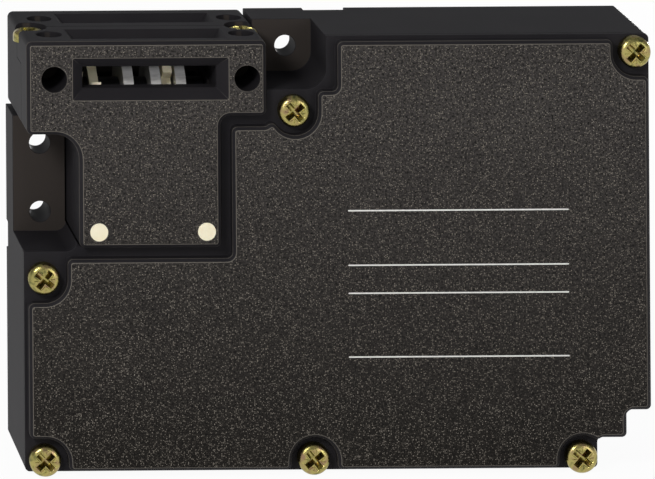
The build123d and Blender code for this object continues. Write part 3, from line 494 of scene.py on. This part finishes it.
# Acetal: milky ivory, waxy, with a soft gloss and light that soaks in a little.
acetal, tree, skin, point = begin_finish("moulded_acetal", 0.38)
milky = add_node(tree, "ShaderNodeTexNoise", {"Scale": 1 / 0.0025, "Detail": 3}, {0: point})
tone = add_node(
    tree, "ShaderNodeMixRGB", {"Color1": linear("#e6dbb8"), "Color2": linear("#f4edd6")},
    {0: milky.outputs[0]},
)
tree.links.new(tone.outputs[0], skin.inputs["Base Color"])
polish = add_node(tree, "ShaderNodeMapRange", {"To Min": 0.3, "To Max": 0.46}, {0: milky.outputs[0]})
tree.links.new(polish.outputs[0], skin.inputs["Roughness"])
skin.inputs["IOR"].default_value = 1.48
skin.inputs["Subsurface Weight"].default_value = 0.15
skin.inputs["Subsurface Radius"].default_value = (0.0012, 0.0009, 0.0006)

# Brass strip with a silver flash: pale gold with a grey cast where the silver is thick.
silvered_brass, tree, skin, point = begin_finish("silvered_brass_strip", 0.28, 1)
flash = add_node(tree, "ShaderNodeTexNoise", {"Scale": 1 / 0.0015, "Detail": 3}, {0: point})
tone = add_node(
    tree, "ShaderNodeMixRGB", {"Color1": linear("#c9a55c"), "Color2": linear("#dcd8cc")},
    {0: flash.outputs[0]},
)
tree.links.new(tone.outputs[0], skin.inputs["Base Color"])
polish = add_node(tree, "ShaderNodeMapRange", {"To Min": 0.2, "To Max": 0.4}, {0: flash.outputs[0]})
tree.links.new(polish.outputs[0], skin.inputs["Roughness"])

# Patented spring wire: drawn, dark grey and slightly oily.
spring_wire, tree, skin, point = begin_finish("drawn_spring_wire", 0.3, 1)
drawn = add_node(tree, "ShaderNodeTexNoise", {"Scale": 1 / 0.0006, "Detail": 2}, {0: point})
tone = add_node(
    tree, "ShaderNodeMixRGB", {"Color1": linear("#6f6d6a"), "Color2": linear("#a5a29d")},
    {0: drawn.outputs[0]},
)
tree.links.new(tone.outputs[0], skin.inputs["Base Color"])
polish = add_node(tree, "ShaderNodeMapRange", {"To Min": 0.22, "To Max": 0.4}, {0: drawn.outputs[0]})
tree.links.new(polish.outputs[0], skin.inputs["Roughness"])

for block in ("tongue", "lock"):
    finish_in(terephthalate, nodes[f"{block}_contact_base"])
    finish_in(acetal, nodes[f"{block}_contact_carrier"])
    finish_in(silvered_brass, nodes[f"{block}_contact_bridges"], nodes[f"{block}_fixed_contacts"])
    finish_in(spring_wire, nodes[f"{block}_contact_springs"])
    finish_in(plated_strip, nodes[f"{block}_terminal_screws"])

# Head, rear shell: half of the T-shaped actuating head, moulded like the tub. It holds the axle's
# bed and the passages of the bolt and the plunger.
rear_shell = cad_copy("head_rear_shell")
round_edges(rear_shell, 0.0001, "MITER_ARC")
finish_in(polyamide, rear_shell)
stand_for(rear_shell, "moulded_rear_shell", "switch_body", "black_plastic", "head_rear_shell")

# Cam wheel: steel discs, an ivory driver disc and an ivory cam on one black hub, which turns on a
# bright pin.

# Spring steel, blanked: bright grey discs with a rougher, streaky cut edge.
blanked_steel, tree, skin, point = begin_finish("blanked_spring_steel", 0.4, 1)
# Shear streaks are about 0.05 mm wide; they are drawn at 0.3 mm so that they show.
stretch = add_node(tree, "ShaderNodeMapping", {"Scale": (0.15, 1, 1)}, {0: point})
streaks = add_node(
    tree, "ShaderNodeTexNoise", {"Scale": 1 / 0.0003, "Detail": 4}, {0: stretch.outputs[0]}
)
tone = add_node(
    tree, "ShaderNodeMixRGB", {"Color1": linear("#c4c2be"), "Color2": linear("#f0eeea")},
    {0: streaks.outputs[0]},
)
tree.links.new(tone.outputs[0], skin.inputs["Base Color"])
polish = add_node(tree, "ShaderNodeMapRange", {"To Min": 0.35, "To Max": 0.6}, {0: streaks.outputs[0]})
tree.links.new(polish.outputs[0], skin.inputs["Roughness"])
bump = add_node(
    tree, "ShaderNodeBump", {"Strength": 0.3, "Distance": 0.00003}, {"Height": streaks.outputs[0]}
)
tree.links.new(bump.outputs[0], skin.inputs["Normal"])

finish_in(blanked_steel, nodes["lock_disc"], nodes["coding_discs"])
finish_in(acetal, nodes["driver_disc"], nodes["actuating_cam"])
finish_in(terephthalate, nodes["cam_hub"])
finish_in(bright_steel, nodes["cam_axle"])

# Lock bolt and plunger: the bolt is a flat bar of hardened steel with a collar that its spring
# stands on, and the plunger is an acetal bar that the cam pushes down.
finish_in(blanked_steel, nodes["lock_bolt"])
finish_in(acetal, nodes["plunger"])

# Return springs: both are wound of patented wire, with their fixed ends against the tub or the
# The bolt rises by 2.4 mm and the plunger goes down by 4 mm, but nothing here makes the springs shorten
# with them.
for name, joint, fixed_end, share_left in (
    ("bolt_spring", "lock_slide", -0.00251, 0.57),
    ("plunger_spring", "plunger_slide", -0.03241, 0.37),
):
    spring = cad_copy(name)
    bpy.ops.object.shade_smooth_by_angle(angle=radians(50))
    finish_in(spring_wire, spring)
    stand_for(spring, f"wound_{name}", "switch_body", "spring_steel", name)
    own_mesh(spring)

# Head, front shell: the other half of the head, moulded like the tub, with the grained face, the
# tongue slot in its funnel and two guide holes.
front_shell = cad_copy("head_front_shell")
round_edges(front_shell, 0.0002)
finish_in(polyamide, front_shell)
stand_for(front_shell, "moulded_front_shell", "switch_body", "black_plastic", "head_front_shell")

# Dowels: two acetal pins that are pressed through both shells into the tub and cut off flush with
# the face of the stem.
finish_in(acetal, nodes["head_dowels"])


# Screws: pan heads with a cross recess and four tick marks between its arms, cold-headed steel,
# zinc plated and passivated yellow. The passivation is iridescent: gold with olive and rosy
# patches.
yellow_zinc, tree, skin, point = begin_finish("yellow_passivated_zinc", 0.3, 1)
film = add_node(
    tree, "ShaderNodeTexNoise", {"Scale": 1 / 0.0018, "Detail": 2, "Distortion": 0.6}, {0: point}
)
gold = add_node(tree, "ShaderNodeValToRGB", {}, {0: film.outputs[0]})
gold.color_ramp.elements[0].position = 0.3
gold.color_ramp.elements[0].color = linear("#64643e")
gold.color_ramp.elements[1].position = 0.72
gold.color_ramp.elements[1].color = linear("#94795f")
middle = gold.color_ramp.elements.new(0.5)
middle.color = linear("#ada262")
tree.links.new(gold.outputs[0], skin.inputs["Base Color"])
scuffs = add_node(tree, "ShaderNodeTexNoise", {"Scale": 1 / 0.0005, "Detail": 4}, {0: point})
polish = add_node(tree, "ShaderNodeMapRange", {"To Min": 0.16, "To Max": 0.42}, {0: scuffs.outputs[0]})
tree.links.new(polish.outputs[0], skin.inputs["Roughness"])
bump = add_node(
    tree, "ShaderNodeBump", {"Strength": 0.5, "Distance": 0.00007}, {"Height": scuffs.outputs[0]}
)
tree.links.new(bump.outputs[0], skin.inputs["Normal"])


def pick_faces(piece, chosen):
    """Select a piece's faces whose normal's height passes a test, and stay in edit mode."""
    bpy.ops.object.mode_set(mode="EDIT")
    bpy.ops.mesh.select_mode(type="FACE")
    bpy.ops.mesh.select_all(action="DESELECT")
    bpy.ops.object.mode_set(mode="OBJECT")
    for facet in piece.data.polygons:
        facet.select = chosen(facet.normal.z)
    bpy.ops.object.mode_set(mode="EDIT")


def draw_out(length, widen):
    """Extrude the selected face along Z and widen it."""
    bpy.ops.mesh.extrude_region_move(TRANSFORM_OT_translate={"value": (0, 0, length)})
    bpy.ops.transform.resize(value=(widen, widen, 1), center_override=(0, 0, 0))


def cut_blade(piece, size, floor_height, turn, taper=(1, 1)):
    """Cut a slot down into the piece's head with a blade that a taper narrows at its lower end."""
    bpy.ops.object.select_all(action="DESELECT")
    bpy.ops.mesh.primitive_cube_add(size=1, location=(0, 0, floor_height + size[2] / 2))
    blade = bpy.context.object
    blade.scale = size
    bpy.ops.object.transform_apply(location=True, rotation=True, scale=True)
    pick_faces(blade, lambda up: up < -0.9)
    bpy.ops.transform.resize(value=(*taper, 1), center_override=(0, 0, 0))
    bpy.ops.object.mode_set(mode="OBJECT")
    blade.rotation_euler.z = turn
    bpy.ops.object.transform_apply(location=True, rotation=True, scale=True)
    cut = piece.modifiers.new("recess", "BOOLEAN")
    cut.operation = "DIFFERENCE"
    cut.solver = "EXACT"
    cut.object = blade
    bpy.context.view_layer.objects.active = piece
    bpy.ops.object.modifier_apply(modifier=cut.name)
    bpy.data.objects.remove(blade)


# Sizes of a screw: its head's rim, the dome's steps up and inwards, the shank and its thread, and
# the length, width and depth of the blades that cut its recess and its tick marks.
head_radius = 0.0033
head_rim = 0.0012
dome_steps = ((0.0004, 0.965), (0.00035, 0.93), (0.00025, 0.87), (0.00015, 0.76), (0.00005, 0.6))
shank_share = 0.53
shank_neck = 0.001
root_share = 0.84
half_pitch = 0.0005
mouth_blade = (0.0052, 0.0020, 0.0004)
cross_blade = (0.0054, 0.0018, 0.0034)
tick_blade = (0.0044, 0.00024, 0.0006)


def pan_screw(ridges):
    """Screw along Z with its seat at the origin and a number of thread ridges below it."""
    bpy.ops.object.select_all(action="DESELECT")
    bpy.ops.mesh.primitive_cylinder_add(
        vertices=48, radius=head_radius, depth=head_rim, location=(0, 0, head_rim / 2)
    )
    screw = bpy.context.object
    bpy.ops.object.transform_apply(location=True, rotation=True, scale=True)
    pick_faces(screw, lambda up: up > 0.9)
    for step_up, widen in dome_steps:
        draw_out(step_up, widen)
    pick_faces(screw, lambda up: up < -0.9)
    draw_out(0, shank_share)
    draw_out(-shank_neck, 1)
    for _ in range(ridges):
        draw_out(-half_pitch, root_share)
        draw_out(-half_pitch, 1 / root_share)
    bpy.ops.object.mode_set(mode="OBJECT")
    for arm in (0, pi / 2):
        cut_blade(screw, mouth_blade, 0.0022, arm, (0.8, 0.8))
        cut_blade(screw, cross_blade, 0.0002, arm, (0.5, 0.2))
        cut_blade(screw, tick_blade, 0.0021, arm + pi / 4)
    screw.select_set(True)
    bpy.ops.object.shade_smooth_by_angle(angle=radians(32))
    finish_in(yellow_zinc, screw)
    return screw


def drive_home(pattern, name, seat, lay, turn, node):
    """Copy a screw to its seat, turned on its axis and then laid over, in place of a CAD node."""
    bpy.ops.object.select_all(action="DESELECT")
    pattern.select_set(True)
    bpy.context.view_layer.objects.active = pattern
    bpy.ops.object.duplicate()
    screw = bpy.context.object
    screw.rotation_euler = (0, 0, turn)
    bpy.ops.object.transform_apply(location=False, rotation=True, scale=False)
    screw.rotation_euler = (lay, 0, 0)
    screw.location = seat
    bpy.ops.object.transform_apply(location=True, rotation=True, scale=True)
    stand_for(screw, name, "switch_body", "yellow_zinc", node)


# Each screw is given by its place and by how far its cross happens to be turned.
head_joint = -0.015
pocket_floor = 0.0418
head_pattern = pan_screw(10)
for number, (x, turn) in enumerate(((-0.0620, 0.6), (-0.0173, 1.1)), 1):
    drive_home(head_pattern, f"head_screw_{number}", (x, head_joint, pocket_floor), 0, turn, "head_screws")
bpy.data.objects.remove(head_pattern)

# Cover: a plate of the same polyamide with a raised panel, which six screws hold on the tub. Four
# thin white rules are pad-printed on the panel.
cover = cad_copy("cover")
round_edges(cover, 0.0002)
finish_in(polyamide, cover)
stand_for(cover, "moulded_cover", "switch_body", "black_plastic", "cover")

cover_seat = -0.0272
cover_pattern = pan_screw(11)
cover_places = (
    (-0.0089, 0.0297, 0.70),
    (0.0618, 0.0415, 0.82),
    (-0.0610, -0.0047, 0.90),
    (-0.0610, -0.0424, 0.76),
    (-0.0053, -0.0424, 0.66),
    (0.0502, -0.0424, 0.86),
)
for number, (x, z, turn) in enumerate(cover_places, 1):
    drive_home(cover_pattern, f"cover_screw_{number}", (x, cover_seat, z), pi / 2, turn, "cover_screws")
bpy.data.objects.remove(cover_pattern)

# White two-part printing ink: a film that is slightly uneven and stands 0.008 mm proud. The rest
# of its depth is sunk into the panel.
rule_start = 0.00195
rule_length = 0.0454
rule_width = 0.0003
ink_front = -0.030008
ink_depth = 0.00002
ink, tree, skin, point = begin_finish("white_pad_printing_ink", 0.55)
patchy = add_node(tree, "ShaderNodeTexNoise", {"Scale": 1 / 0.0006, "Detail": 3}, {0: point})
tone = add_node(
    tree, "ShaderNodeMixRGB", {"Color1": linear("#c4c2bd"), "Color2": linear("#f0efec")},
    {0: patchy.outputs[0]},
)
tree.links.new(tone.outputs[0], skin.inputs["Base Color"])
for number, z in enumerate((0.0094, -0.0019, -0.0077, -0.0209), 1):
    bpy.ops.object.select_all(action="DESELECT")
    bpy.ops.mesh.primitive_circle_add(
        vertices=16, radius=rule_width / 2, fill_type="NGON",
        location=(rule_start, ink_front, z), rotation=(pi / 2, pi / 16, 0),
    )
    rule = bpy.context.object
    bpy.ops.object.transform_apply(location=True, rotation=True, scale=True)
    bpy.ops.object.mode_set(mode="EDIT")
    bpy.ops.mesh.select_mode(type="VERT")
    bpy.ops.mesh.select_all(action="DESELECT")
    bpy.ops.object.mode_set(mode="OBJECT")
    for corner in rule.data.vertices:
        corner.select = corner.co.x > rule_start
    bpy.ops.object.mode_set(mode="EDIT")
    bpy.ops.transform.translate(value=(rule_length, 0, 0))
    bpy.ops.mesh.select_all(action="SELECT")
    bpy.ops.mesh.extrude_region_move(TRANSFORM_OT_translate={"value": (0, ink_depth, 0)})
    bpy.ops.mesh.select_all(action="SELECT")
    bpy.ops.mesh.normals_make_consistent(inside=False)
    bpy.ops.object.mode_set(mode="OBJECT")
    finish_in(ink, rule)
    stand_for(rule, f"printed_rule_{number}", "switch_body", "black_plastic")
